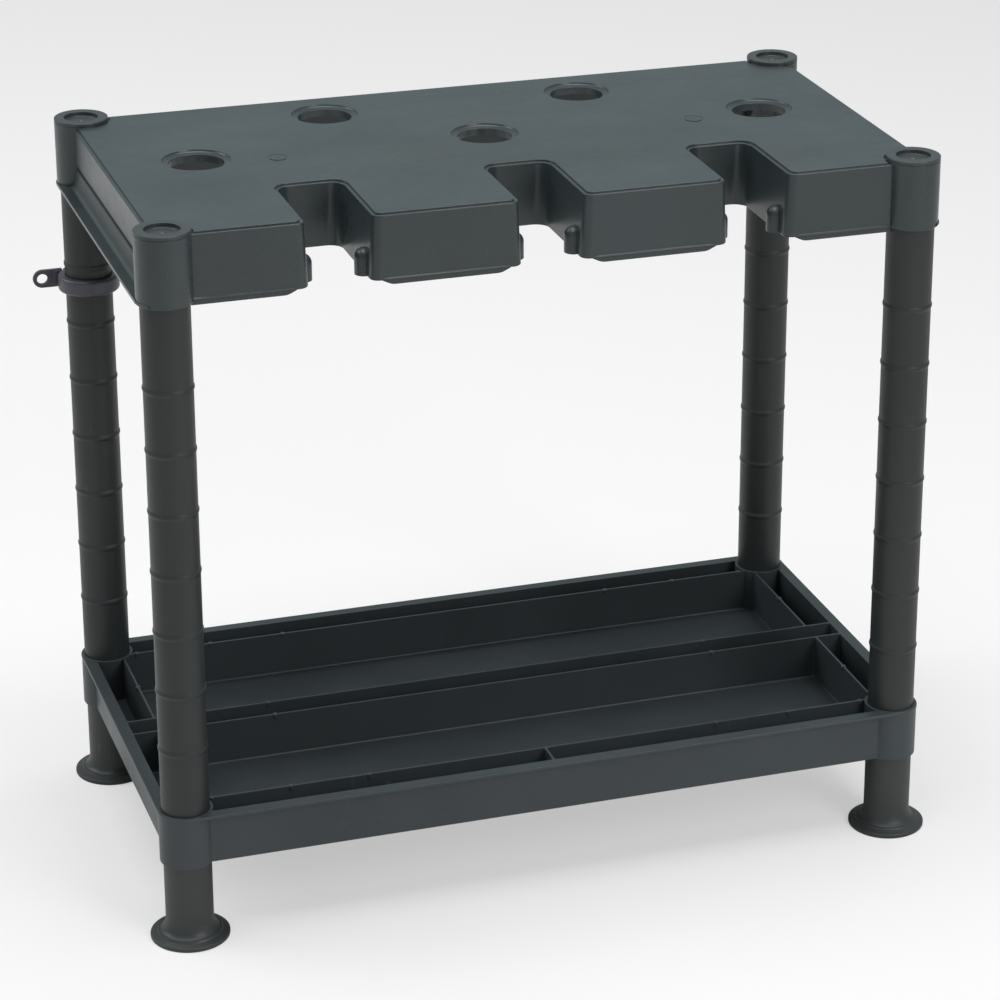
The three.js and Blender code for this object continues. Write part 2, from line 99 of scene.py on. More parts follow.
def makeActive(piece):
    startFresh()
    bpy.context.view_layer.objects.active = piece
    piece.select_set(True)


def newest(name):
    # the object that the last operator added
    bpy.context.object.name = name
    return bpy.context.object


def choose(piece, kind="FACE", wanted=lambda item: True):
    # opens the piece in edit mode with only the wanted corners, edges or faces selected
    makeActive(piece)
    bpy.ops.object.mode_set(mode="EDIT")
    bpy.ops.mesh.select_mode(type=kind)
    bpy.ops.mesh.select_all(action="DESELECT")
    mesh = bmesh.from_edit_mesh(piece.data)
    items = {"VERT": mesh.verts, "EDGE": mesh.edges, "FACE": mesh.faces}[kind]
    for item in items:
        if wanted(item):
            item.select_set(True)
    bmesh.update_edit_mesh(piece.data)


def facing(height, up):
    # flat faces at one height that look up (1) or down (-1)
    return lambda face: (abs(face.calc_center_median().z - height) < nearEnough
                         and face.normal.z * up > flatNormal)


def uprights(places):
    # vertical edges at the given places in plan
    def wanted(edge):
        a, b = (vert.co for vert in edge.verts)
        straight = (a - b).xy.length < nearEnough
        return straight and any((a.xy - Vector(place)).length < nearEnough for place in places)
    return wanted


def bevelChosen(width, segments):
    bpy.ops.mesh.bevel(offset=width, segments=segments, profile=0.5, affect="EDGES", clamp_overlap=True)
    startFresh()


def roundRim(piece, height, up, width, segments=3):
    # rounds the outline of the flat face at that height
    choose(piece, "FACE", facing(height, up))
    bpy.ops.mesh.region_to_loop()
    bevelChosen(width, segments)


def roundUprights(piece, places, radius, segments=8):
    choose(piece, "EDGE", uprights(places))
    bevelChosen(radius, segments)


def extrudeBy(x, y, z):
    bpy.ops.mesh.extrude_region_move(TRANSFORM_OT_translate={"value": (x, y, z)})


def stepFace(piece, height, up, border, rise):
    # keeps a border of the flat face at that height and moves the rest
    choose(piece, "FACE", facing(height, up))
    bpy.ops.mesh.inset(thickness=border)
    extrudeBy(0, 0, rise)


def faceOutwards(piece):
    choose(piece)
    bpy.ops.mesh.normals_make_consistent(inside=False)
    startFresh()


def fromMiddle(x, y):
    # a place in plan, given from the middle of the rack
    return rackMiddle.x + x, rackMiddle.y + y


def addBlock(name, corner, opposite):
    startFresh()
    low, high = (Vector([pick(ends) for ends in zip(corner, opposite)]) for pick in (min, max))
    bpy.ops.mesh.primitive_cube_add(size=1, location=(low + high) / 2, scale=high - low)
    block = newest(name)
    bpy.ops.object.transform_apply()
    return block


def drawOutline(name, points):
    # one corner, drawn on from point to point and filled
    startFresh()
    points = [Vector(p) for p in points]
    bpy.ops.mesh.primitive_plane_add(size=0.01, location=points[0])
    piece = newest(name)
    bpy.ops.object.mode_set(mode="EDIT")
    bpy.ops.mesh.select_mode(type="VERT")
    bpy.ops.mesh.select_all(action="SELECT")
    bpy.ops.mesh.merge(type="CENTER")
    for here, there in zip(points, points[1:]):
        bpy.ops.mesh.extrude_vertices_move(TRANSFORM_OT_translate={"value": there - here})
    bpy.ops.mesh.select_all(action="SELECT")
    bpy.ops.mesh.edge_face_add()
    bpy.ops.object.mode_set(mode="OBJECT")
    bpy.ops.object.transform_apply()
    return piece


def raiseOutline(name, points, x=0, y=0, z=0):
    # an outline pulled straight along one direction
    piece = drawOutline(name, points)
    choose(piece)
    extrudeBy(x, y, z)
    faceOutwards(piece)
    return piece


def turn(name, profile, place=(0, 0), steps=64, filled=True):
    # a round piece: a circle pulled from ring to ring, each given as (radius, height)
    startFresh()
    radius, height = profile[0]
    bpy.ops.mesh.primitive_circle_add(vertices=steps, radius=radius, location=(place[0], place[1], height),
                                      fill_type="NGON" if filled else "NOTHING")
    piece = newest(name)
    bpy.ops.object.mode_set(mode="EDIT")
    bpy.ops.mesh.select_mode(type="FACE" if filled else "EDGE")
    bpy.ops.mesh.select_all(action="SELECT")
    for nextRadius, nextHeight in profile[1:]:
        extrudeBy(0, 0, nextHeight - height)
        growth = nextRadius / radius
        bpy.ops.transform.resize(value=(growth, growth, 1), center_override=(place[0], place[1], nextHeight))
        radius, height = nextRadius, nextHeight
    if not filled:
        bpy.ops.mesh.select_all(action="DESELECT")
        bpy.ops.mesh.select_non_manifold()
        bpy.ops.mesh.bridge_edge_loops()
    bpy.ops.object.mode_set(mode="OBJECT")
    bpy.ops.object.transform_apply()
    faceOutwards(piece)
    return piece


def arcPoints(centre, radii, start, end, steps):
    # points of an elliptical arc, angles in degrees
    points = []
    for i in range(steps + 1):
        angle = math.radians(start + (end - start) * i / steps)
        points.append((centre[0] + radii[0] * math.cos(angle), centre[1] + radii[1] * math.sin(angle)))
    return points


def roundedSide(radius, low, high, lowRound, highRound, steps=3):
    # profile of an upright round wall with both its edges rounded
    return [*arcPoints((radius - lowRound, low + lowRound), (lowRound, lowRound), -90, 0, steps),
            *arcPoints((radius - highRound, high - highRound), (highRound, highRound), 0, 90, steps)]


def applyModifier(piece, kind, **settings):
    modifier = piece.modifiers.new("modifier", kind)
    for name, value in settings.items():
        setattr(modifier, name, value)
    makeActive(piece)
    bpy.ops.object.modifier_apply(modifier=modifier.name)


def combine(piece, other, operation):
    applyModifier(piece, "BOOLEAN", operation=operation, solver="EXACT", object=other)
    bpy.data.objects.remove(other)


def joinOn(piece, *others):
    for other in others:
        combine(piece, other, "UNION")


def cutOut(piece, *cutters):
    for cutter in cutters:
        combine(piece, cutter, "DIFFERENCE")


def soften(piece, width, segments=2, angle=40):
    # rounds every edge sharper than the angle
    applyModifier(piece, "BEVEL", width=width, segments=segments, limit_method="ANGLE",
                  angle_limit=math.radians(angle), use_clamp_overlap=True)
    return piece


def copyTo(piece, name, x, y):
    # a copy with its own mesh, set down at a place in plan
    makeActive(piece)
    bpy.ops.object.duplicate(linked=False)
    copy = newest(name)
    copy.location = (x, y, 0)
    bpy.ops.object.transform_apply()
    return copy


def smoothOver(piece, angle=32, faceWeight=80):
    makeActive(piece)
    bpy.ops.object.shade_smooth_by_angle(angle=math.radians(angle))
    applyModifier(piece, "WEIGHTED_NORMAL", keep_sharp=True, weight=faceWeight)


def finishPiece(piece, node):
    smoothOver(piece)
    piece.data.materials.clear()
    piece.data.materials.append(plastics[slotOf[node]])
    startFresh()
    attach(piece, bodyOf[node])
    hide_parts(node)
    print("made", piece.name, "with", len(piece.data.polygons), "faces")


bodyOf = {node: body for body, nodes in frame["record"]["behaviour"]["bodies"].items() for node in nodes}
slotOf = {part["node"]: part["material_slot"] for part in frame["record"]["subparts"]}
slotColour = {entry["slot"]: tuple(entry["base_color"]) for entry in frame["record"]["materials"]}


# Plastic

def newMaterial(name):
    material = bpy.data.materials.new(name)
    material.use_nodes = True
    return material, material.node_tree, material.node_tree.nodes["Principled BSDF"]


def newGroup(name, inputs, outputs):
    # an input without a value is a vector, and all else is a number
    group = bpy.data.node_groups.new(name, "ShaderNodeTree")
    for socketName, value in inputs.items():
        kind = "NodeSocketVector" if value is None else "NodeSocketFloat"
        socket = group.interface.new_socket(socketName, in_out="INPUT", socket_type=kind)
        if value is not None:
            socket.default_value = value
    for socketName in outputs:
        group.interface.new_socket(socketName, in_out="OUTPUT", socket_type="NodeSocketFloat")
    return group, group.nodes.new("NodeGroupInput").outputs, group.nodes.new("NodeGroupOutput")


def feed(tree, node, inputs):
    # sets each input of a node to a value or links it to another node
    for name, value in inputs.items():
        if isinstance(value, bpy.types.NodeSocket):
            tree.links.new(value, node.inputs[name])
        else:
            node.inputs[name].default_value = value
    return node


def addNode(tree, kind, inputs):
    return feed(tree, tree.nodes.new(kind), inputs)


def noiseNode(tree, place, scale, detail=2.0, roughness=0.5):
    inputs = {"Vector": place, "Scale": scale, "Detail": detail, "Roughness": roughness}
    return addNode(tree, "ShaderNodeTexNoise", inputs).outputs["Fac"]


def mathNode(tree, first, second, operation="MULTIPLY", clamp=False):
    node = addNode(tree, "ShaderNodeMath", {0: first, 1: second})
    node.operation = operation
    node.use_clamp = clamp
    return node.outputs[0]


def rangeNode(tree, value, source, target=(0.0, 1.0)):
    # spreads one range of values over another
    inputs = zip(("Value", "From Min", "From Max", "To Min", "To Max"), (value, *source, *target))
    return addNode(tree, "ShaderNodeMapRange", dict(inputs)).outputs["Result"]


def stretched(tree, place, scale):
    return addNode(tree, "ShaderNodeMapping", {"Vector": place, "Scale": scale}).outputs["Vector"]


def mixColour(tree, share, first, second):
    # inputs 6 and 7 of this node are its two colours, and output 2 is their mix
    node = tree.nodes.new("ShaderNodeMix")
    node.data_type = "RGBA"
    first, second = (c if isinstance(c, bpy.types.NodeSocket) else (*c, 1.0) for c in (first, second))
    return feed(tree, node, {"Factor": share, 6: first, 7: second}).outputs[2]


def groupNode(tree, group, **inputs):
    node = tree.nodes.new("ShaderNodeGroup")
    node.node_tree = group
    return feed(tree, node, inputs)


surfaceLook = {
    "middlingScale": 120.0,
    "glossShares": (0.7, 0.3),          # of the broad noise and the middling one
    "glossRange": (0.3, 0.7),
    "flowStretch": (1.0, 3.2, 0.6),
    "flowRange": (0.32, 0.68),
    "upwardRange": (0.55, 0.98),        # of the height of the normal
    "patchRange": (0.46, 0.78),
    "speckScale": 420.0,
    "speckRange": (0.4, 0.75),
    "speckLeast": 0.25,
    "scuffStretch": (14.0, 420.0, 60.0),
    "scuffRange": (0.66, 0.74),
    "scuffPatchScale": 11.0,
    "scuffPatchRange": (0.54, 0.66),
    "dustColour": (0.42, 0.41, 0.38),
    "scuffColour": (0.40, 0.42, 0.42),
    "dustRoughness": 0.25,
    "bumpStrength": 0.6,
    "ior": 1.49,
}


def makeGrainGroup():
    # fine spark-eroded mould texture: a height and an uneven gloss
    inputs = {"Place": None, "Grain": 1500.0, "Patch": 9.0}
    group, given, result = newGroup("mouldGrain", inputs, ("Height", "Gloss"))
    fine = noiseNode(group, given["Place"], given["Grain"], detail=3.0, roughness=0.6)
    broad = noiseNode(group, given["Place"], given["Patch"], detail=4.0, roughness=0.55)
    middling = noiseNode(group, given["Place"], surfaceLook["middlingScale"], detail=3.0, roughness=0.6)
    shares = [mathNode(group, noise, share)
              for noise, share in zip((broad, middling), surfaceLook["glossShares"])]
    feed(group, result, {"Height": fine, "Gloss": mathNode(group, *shares, "ADD")})
    return group


def makeFlowGroup():
    # slow streaks that the melt leaves along its way from the gates
    group, given, result = newGroup("meltFlow", {"Place": None, "Streak": 5.0}, ("Tone",))
    place = stretched(group, given["Place"], surfaceLook["flowStretch"])
    streaks = noiseNode(group, place, given["Streak"], detail=5.0, roughness=0.62)
    feed(group, result, {"Tone": rangeNode(group, streaks, surfaceLook["flowRange"])})
    return group


def makeDustGroup():
    # dust and rub marks on the faces that look up
    inputs = {"Place": None, "Facing": None, "Patch": 14.0}
    group, given, result = newGroup("settledDust", inputs, ("Mask",))
    split = addNode(group, "ShaderNodeSeparateXYZ", {"Vector": given["Facing"]})
    upward = rangeNode(group, split.outputs["Z"], surfaceLook["upwardRange"])
    patches = rangeNode(group, noiseNode(group, given["Place"], given["Patch"], detail=6.0, roughness=0.68),
                        surfaceLook["patchRange"])
    noise = noiseNode(group, given["Place"], surfaceLook["speckScale"], detail=3.0, roughness=0.7)
    specks = rangeNode(group, noise, surfaceLook["speckRange"], (surfaceLook["speckLeast"], 1.0))
    feed(group, result, {"Mask": mathNode(group, mathNode(group, upward, patches), specks)})
    return group


def makeScuffGroup():
    # thin pale scratches that run one way, broken up by a broad noise
    group, given, result = newGroup("handlingScuffs", {"Place": None, "Angle": 0.5}, ("Mask",))
    turned = addNode(group, "ShaderNodeVectorRotate", {"Vector": given["Place"], "Angle": given["Angle"]})
    turned.rotation_type = "Z_AXIS"
    place = stretched(group, turned.outputs["Vector"], surfaceLook["scuffStretch"])
    scratches = rangeNode(group, noiseNode(group, place, 1.0), surfaceLook["scuffRange"])
    patches = noiseNode(group, given["Place"], surfaceLook["scuffPatchScale"], detail=3.0)
    where = rangeNode(group, patches, surfaceLook["scuffPatchRange"])
    feed(group, result, {"Mask": mathNode(group, scratches, where)})
    return group


plasticLooks = {
    "panel_plastic": {"shade": 0.59, "tint": (0.92, 1.02, 1.04), "roughness": 0.32, "roughnessSwing": 0.16,
                      "grainDepth": 0.00005, "grain": 1500.0, "dust": 0.10, "scuffs": 0.05,
                      "toneSwing": 0.14, "specular": 0.48, "scuffAngle": 0.9},
    "tray_plastic": {"shade": 0.98, "tint": (0.98, 1.0, 1.02), "roughness": 0.38, "roughnessSwing": 0.16,
                     "grainDepth": 0.00004, "grain": 1500.0, "dust": 0.05, "scuffs": 0.04,
                     "toneSwing": 0.12, "specular": 0.30, "scuffAngle": 0.3},
    "tube_plastic": {"shade": 0.62, "tint": (1.0, 1.0, 0.98), "roughness": 0.46, "roughnessSwing": 0.12,
                     "grainDepth": 0.00003, "grain": 1300.0, "dust": 0.04, "scuffs": 0.06,
                     "toneSwing": 0.10, "specular": 0.36, "scuffAngle": 1.4},
    "foot_plastic": {"shade": 0.78, "tint": (1.03, 1.0, 0.97), "roughness": 0.45, "roughnessSwing": 0.14,
                     "grainDepth": 0.00003, "grain": 1300.0, "dust": 0.12, "scuffs": 0.10,
                     "toneSwing": 0.12, "specular": 0.44, "scuffAngle": 2.1},
    "cap_plastic": {"shade": 0.66, "tint": (0.99, 1.0, 1.01), "roughness": 0.40, "roughnessSwing": 0.12,
                    "grainDepth": 0.00003, "grain": 1500.0, "dust": 0.10, "scuffs": 0.10,
                    "toneSwing": 0.10, "specular": 0.46, "scuffAngle": 0.2},
    "clip_plastic": {"shade": 1.75, "tint": (1.0, 0.97, 1.08), "roughness": 0.36, "roughnessSwing": 0.10,
                     "grainDepth": 0.00002, "grain": 1700.0, "dust": 0.06, "scuffs": 0.08,
                     "toneSwing": 0.08, "specular": 0.46, "scuffAngle": 0.7},
}


def makePlastic(slotName, groups):
    look = plasticLooks[slotName]
    colour = tuple(c * look["shade"] * t for c, t in zip(slotColour[slotName], look["tint"]))
    material, tree, shader = newMaterial(slotName.replace("_plastic", "Plastic"))
    place = tree.nodes.new("ShaderNodeTexCoord").outputs["Object"]
    facingUp = tree.nodes.new("ShaderNodeNewGeometry").outputs["Normal"]
    grain = groupNode(tree, groups["grain"], Place=place, Grain=look["grain"])
    flow = groupNode(tree, groups["flow"], Place=place)
    dust = groupNode(tree, groups["dust"], Place=place, Facing=facingUp).outputs["Mask"]
    scuffs = groupNode(tree, groups["scuffs"], Place=place, Angle=look["scuffAngle"]).outputs["Mask"]

    darker = tuple(c * (1 - look["toneSwing"]) for c in colour)
    lighter = tuple(c * (1 + look["toneSwing"]) for c in colour)
    base = mixColour(tree, flow.outputs["Tone"], darker, lighter)
    dusty = mixColour(tree, mathNode(tree, dust, look["dust"]), base, surfaceLook["dustColour"])
    scuffed = mixColour(tree, mathNode(tree, scuffs, look["scuffs"]), dusty, surfaceLook["scuffColour"])

    swing = look["roughnessSwing"]
    gloss = rangeNode(tree, grain.outputs["Gloss"], surfaceLook["glossRange"],
                      (look["roughness"] - swing / 2, look["roughness"] + swing / 2))
    dull = mathNode(tree, dust, surfaceLook["dustRoughness"])
    bump = addNode(tree, "ShaderNodeBump", {"Strength": surfaceLook["bumpStrength"],
                                            "Distance": look["grainDepth"],
                                            "Height": grain.outputs["Height"]})
    feed(tree, shader, {"Base Color": scuffed, "Roughness": mathNode(tree, gloss, dull, "ADD", clamp=True),
                        "Normal": bump.outputs["Normal"], "Specular IOR Level": look["specular"],
                        "IOR": surfaceLook["ior"]})
    return material


# Top panel

panelShape = {
    "endFace": 0.289,         # middle of the rack to the end face
    "frontFace": 0.146,
    "apronDepth": 0.0495,
    "plate": 0.0032,
    "wall": 0.0022,
    "ledgeDrop": 0.0014,
    "ledgeWidth": 0.0026,
    "ledgeRound": 0.0008,
    "fieldRound": 0.0006,
    "lowerRound": 0.0012,
    "bead": ((0.0026, -0.0003), (0.0014, 0.0009), (0.0007, 0.0008), (0.0003, -0.0003)),  # (height, proud)
    "beadTaper": 0.006,
    "beadSink": 0.0012,       # into the wall at the free ends
    "sleeveRadius": 0.0202,
    "sleeveProud": 0.0004,
    "sleeveRound": 0.0006,
    "capRelief": 0.0015,
    "bore": 0.0181,
    "stopBore": 0.0138,
    "stopTop": 0.0045,        # below the field
    "stopThickness": 0.0024,
    "ribThickness": 0.0018,
    "ribDepth": 0.0045,
    "ribStep": 0.0002,        # cross ribs above the long rib
}
slotShape = {
    "pitch": 0.156,
    "width": 0.0485,
    "depth": 0.086,
    "backRadius": 0.010,
    "mouthRadius": 0.007,
    "draft": 0.0022,          # lean of each side wall into the slot, at the lower edge of the apron
    "guideRadius": 0.007,
    "guideSetback": 0.0208,
    "guideHeight": 0.0195,
    "guideDrop": 0.0003,
    "guideDomeEnd": 84,       # degrees
}
lipShape = {"thickness": 0.002, "setback": 0.0019, "drop": 0.004, "root": 0.003, "endInset": 0.0072,
            "slantRun": 0.0085, "bendRound": 0.0022, "edgeRound": 0.0004}
railShape = {"flangeAboveEdge": 0.0028, "flangeProud": 0.0008, "coveWidth": 0.0048, "coveHeight": 0.013,
             "grooveHeight": 0.0046, "grooveDepth": 0.0015, "grooveAboveCove": 0.0016, "edgeRound": 0.0005,
             "wrapInset": 0.0145, "wrapStep": 0.0003, "wrapRound": 0.0006}
holeShape = {"radius": 0.0204, "leadRadius": 0.0254, "leadDepth": 0.0028, "collarDepth": 0.008,
             "wall": 0.0022, "frontPitch": 0.220, "frontY": 0.0165, "backPitch": 0.202, "backY": 0.101}
leadShares = {"throat": (0.34, 0.22), "dish": (0.62, 0.66), "dishDrop": 0.12, "brink": (0.1, 0.03),
              "brinkStep": 0.00002}
gateShape = {"x": 0.162, "y": 0.004, "ring": 0.0074, "halfWidth": 0.0011, "depth": 0.0004,
             "innerSlope": 0.0001, "pit": 0.0012, "pitDepth": 0.0006}
hairline = 0.00003            # least step where a cutter leaves a face
past = 0.006                  # how far a cutter runs past the face that it cuts

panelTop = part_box("top_panel")[1].z
panelLow = panelTop - panelShape["apronDepth"]
panelUnder = panelTop - panelShape["plate"]
slotCentres = [rackMiddle.x + i * slotShape["pitch"] for i in (-1, 0, 1)]
frontY = rackMiddle.y - panelShape["frontFace"]
backY = rackMiddle.y + panelShape["frontFace"]
slotBackY = frontY + slotShape["depth"]


def slotLean(height):
    return slotShape["draft"] * (panelTop - height) / panelShape["apronDepth"]


def slotSides(height):
    half = slotShape["width"] / 2 - slotLean(height)
    return [x + side * half for x in slotCentres for side in (-1, 1)]


def leanSlots(shell, height, inwards):
    # moves the slots' side walls towards the middles of the slots at one height
    reach = slotShape["width"] / 2 + slotShape["mouthRadius"] + 2 * panelShape["wall"]
    for centre in slotCentres:
        for side in (-1, 1):
            choose(shell, "VERT", lambda vert: abs(vert.co.z - height) < nearEnough
                   and 0 < side * (vert.co.x - centre) < reach)
            bpy.ops.transform.translate(value=(-side * inwards, 0, 0))


def panelShell():
    # the block with its slots, ledge and raised field, hollowed from below
    leftX, rightX = rackMiddle.x - panelShape["endFace"], rackMiddle.x + panelShape["endFace"]
    outline = [(leftX, frontY)]
    sides = slotSides(panelTop)
    for left, right in zip(sides[::2], sides[1::2]):
        outline += [(left, frontY), (left, slotBackY), (right, slotBackY), (right, frontY)]
    outline += [(rightX, frontY), (rightX, backY), (leftX, backY)]
    ledgeTop = panelTop - panelShape["ledgeDrop"]
    shell = raiseOutline("slottedPanel", [(x, y, panelLow) for x, y in outline], z=ledgeTop - panelLow)
    roundUprights(shell, [(x, frontY) for x in sides], slotShape["mouthRadius"])
    roundUprights(shell, [(x, slotBackY) for x in sides], slotShape["backRadius"])
    leanSlots(shell, panelLow, slotShape["draft"])
    roundRim(shell, ledgeTop, 1, panelShape["ledgeRound"])
    stepFace(shell, ledgeTop, 1, panelShape["ledgeWidth"] - panelShape["ledgeRound"], panelShape["ledgeDrop"])
    roundRim(shell, panelTop, 1, panelShape["fieldRound"])
    roundRim(shell, panelLow, -1, panelShape["lowerRound"])
    stepFace(shell, panelLow, -1, panelShape["wall"] - panelShape["lowerRound"], panelUnder - panelLow)
    leanSlots(shell, panelUnder, slotLean(panelUnder) - slotShape["draft"])
    faceOutwards(shell)
    return shell


def guidePost(place, radius, low, high):
    dome = arcPoints((0, high - radius), (radius, radius), 0, slotShape["guideDomeEnd"], steps=6)
    return turn("guidePost", [(radius, low), *dome], place, steps=40)


def endRail(side):
    # coved foot of the end face, run out into a flange with a turned-down edge
    wall = panelShape["wall"]
    flangeTop = panelLow + railShape["flangeAboveEdge"]
    flangeOut = legX + panelShape["sleeveRadius"] + railShape["flangeProud"]
    coveTop = flangeTop + railShape["coveHeight"]
    coveX = panelShape["endFace"] + railShape["coveWidth"]
    coveFoot = (railShape["coveWidth"], railShape["coveHeight"])
    outer = arcPoints((coveX, coveTop), coveFoot, 180, 270, steps=12)
    inner = arcPoints((coveX, coveTop), [size + wall for size in coveFoot], 270, 180, steps=12)
    tongue = wall / 4
    profile = [
        (panelShape["endFace"] - wall + tongue, coveTop + wall),
        (panelShape["endFace"] - tongue, coveTop + wall),
        *outer,
        (flangeOut, flangeTop),
        (flangeOut, panelLow),
        (flangeOut - wall, panelLow),
        (flangeOut - wall, flangeTop - wall),
        *inner,
    ]
    points = [(*fromMiddle(side * x, -legY), z) for x, z in profile]
    return soften(raiseOutline("endRail", points, y=2 * legY), railShape["edgeRound"])


def flangeTurn(axis):
    # the flange of the end rail, carried on round the outer side of one leg sleeve
    radius = panelShape["sleeveRadius"] + railShape["flangeProud"]
    low = panelLow + railShape["wrapStep"]
    high = panelLow + railShape["flangeAboveEdge"] - railShape["wrapStep"]
    side = 1 if axis.x > rackMiddle.x else -1
    wrapRound = railShape["wrapRound"]
    collar = turn("flangeTurn", roundedSide(radius, low, high, wrapRound, wrapRound), axis.xy, steps=96)
    cutOut(collar, addBlock("turnEnd", (axis.x - side * 2 * radius, axis.y - 2 * radius, low - past),
                            (axis.x + side * railShape["wrapInset"], axis.y + 2 * radius, high + past)))
    return collar


def frontBead(left, right, leftFree, rightFree):
    # low ridge along the foot of one front face, sunk into it towards its free ends
    start = left + leftFree * slotShape["mouthRadius"]
    end = right - rightFree * slotShape["mouthRadius"]
    inside = [(frontY + panelShape["wall"] / 2, panelLow + panelShape["bead"][i][0]) for i in (-1, 0)]
    profile = [*inside, *[(frontY - proud, panelLow + height) for height, proud in panelShape["bead"]]]
    bead = raiseOutline("frontBead", [(start, y, z) for y, z in profile], x=end - start)
    for x, free, way in ((start, leftFree, 1), (end, rightFree, -1)):
        if free:
            choose(bead)
            bpy.ops.mesh.bisect(plane_co=(x + way * panelShape["beadTaper"], 0, 0), plane_no=(1, 0, 0))
            choose(bead, "VERT", lambda vert: abs(vert.co.x - x) < nearEnough and vert.co.y < frontY)
            bpy.ops.transform.translate(value=(0, panelShape["beadSink"], 0))
    startFresh()
    return bead


def frontLip(left, right, leftFree, rightFree):
    # thin lip behind the front face, with slanted ends beside the slots
    low, root = panelLow - lipShape["drop"], panelLow + lipShape["root"]
    leftRoot = left + leftFree * lipShape["endInset"]
    rightRoot = right - rightFree * lipShape["endInset"]
    leftLow = leftRoot + leftFree * lipShape["slantRun"]
    rightLow = rightRoot - rightFree * lipShape["slantRun"]
    corners = [(leftRoot, root), (leftRoot, panelLow), (leftLow, low),
               (rightLow, low), (rightRoot, panelLow), (rightRoot, root)]
    y = frontY + lipShape["setback"]
    lip = raiseOutline("frontLip", [(x, y, z) for x, z in corners], y=lipShape["thickness"])
    ends = ((leftRoot, leftFree), (leftLow, leftFree), (rightLow, rightFree), (rightRoot, rightFree))
    bends = [x for x, free in ends if free]

    def atBend(edge):
        a, b = (vert.co for vert in edge.verts)
        crosswise = abs(a.y - b.y) > lipShape["thickness"] / 2
        return crosswise and a.z < root - nearEnough and any(abs(a.x - x) < nearEnough for x in bends)

    choose(lip, "EDGE", atBend)
    bevelChosen(lipShape["bendRound"], segments=4)
    return soften(lip, lipShape["edgeRound"])


def panelHoles():
    places = [(x * holeShape["frontPitch"], holeShape["frontY"]) for x in (-1, 0, 1)]
    places += [(x * holeShape["backPitch"] / 2, holeShape["backY"]) for x in (-1, 1)]
    return [fromMiddle(x, y) for x, y in places]


def holeCollar(place):
    wall = holeShape["wall"]
    outer = holeShape["radius"] + wall
    low, lead = panelTop - holeShape["collarDepth"], panelTop - holeShape["leadDepth"] - wall
    top = (holeShape["leadRadius"] + wall, panelTop - wall / 2)
    return turn("holeCollar", [(outer, low), (outer, lead), top], place)


def holeCutter(place):
    # bore with a dished lead-in whose lip rolls over into the field
    radius, lead = holeShape["radius"], holeShape["leadRadius"]
    run, rise = lead - radius, holeShape["leadDepth"]
    throatSize = (run * leadShares["throat"][0], rise * leadShares["throat"][1])
    dishSize = (run * leadShares["dish"][0], rise * leadShares["dish"][1])
    brinkRun, brinkDrop = run * leadShares["brink"][0], rise * leadShares["brink"][1]
    throat = arcPoints((radius + throatSize[0], panelTop - rise), throatSize, 180, 90, steps=4)
    dishTop = panelTop - rise * leadShares["dishDrop"]
    dish = arcPoints((radius + throatSize[0], dishTop), dishSize, 270, 350, steps=6)
    profile = [(radius, panelTop - holeShape["collarDepth"] - past), *throat, *dish[1:],
               (lead, panelTop - brinkDrop), (lead + brinkRun, panelTop + leadShares["brinkStep"]),
               (lead + brinkRun, panelTop + past)]
    return turn("holeCutter", profile, place, steps=96)


def gatePlaces():
    return [fromMiddle(side * gateShape["x"], gateShape["y"]) for side in (-1, 1)]


def gateCutters(place):
    # shallow ring, deepest at its inner side, round a small pit
    near, far = gateShape["ring"] - gateShape["halfWidth"], gateShape["ring"] + gateShape["halfWidth"]
    low, pit = panelTop - gateShape["depth"], gateShape["pit"]
    ring = [(near, panelTop + past), (near, low + hairline), (near + gateShape["innerSlope"], low),
            (far, panelTop - hairline), (far, panelTop + past)]
    hollow = [(pit * 0.5, panelTop - gateShape["pitDepth"]), (pit, panelTop - gateShape["pitDepth"] / 3),
              (pit, panelTop + past)]
    return turn("gateRing", ring, place, steps=72, filled=False), turn("gatePit", hollow, place, steps=20)


def legSleeve(place, low, high):
    radius, rounding = panelShape["sleeveRadius"], panelShape["sleeveRound"]
    return turn("legSleeve", roundedSide(radius, low, high, rounding, rounding / 2), place)


def boreCutter(place, low, stopTop, stopThickness, high):
    # bore for the leg from below, a stop, and the bore above it
    bore, stop, stopLow = panelShape["bore"], panelShape["stopBore"], stopTop - stopThickness
    profile = [(bore, low - past), (bore, stopLow), (stop, stopLow), (stop, stopTop), (bore, stopTop),
               (bore, high + past)]
    return turn("boreCutter", profile, place)


def panelRibs():
    half = panelShape["ribThickness"] / 2
    z = (panelUnder - panelShape["ribDepth"], panelUnder + panelShape["plate"] / 2)
    inner = panelShape["endFace"] - panelShape["wall"] / 2
    along = rackMiddle.y + (holeShape["frontY"] + holeShape["backY"]) / 2
    ribs = [addBlock("rib", (rackMiddle.x - inner, along - half, z[0]),
                     (rackMiddle.x + inner, along + half, z[1]))]
    nearEdge = panelShape["wall"] / 2
    for step in (-2, -1, 0, 1, 2):
        x = rackMiddle.x + step * slotShape["pitch"] / 2
        start = frontY + nearEdge if step % 2 else slotBackY + nearEdge
        ribs.append(addBlock("rib", (x - half, start, z[0] + panelShape["ribStep"]),
                             (x + half, backY - nearEdge, z[1])))
    return ribs


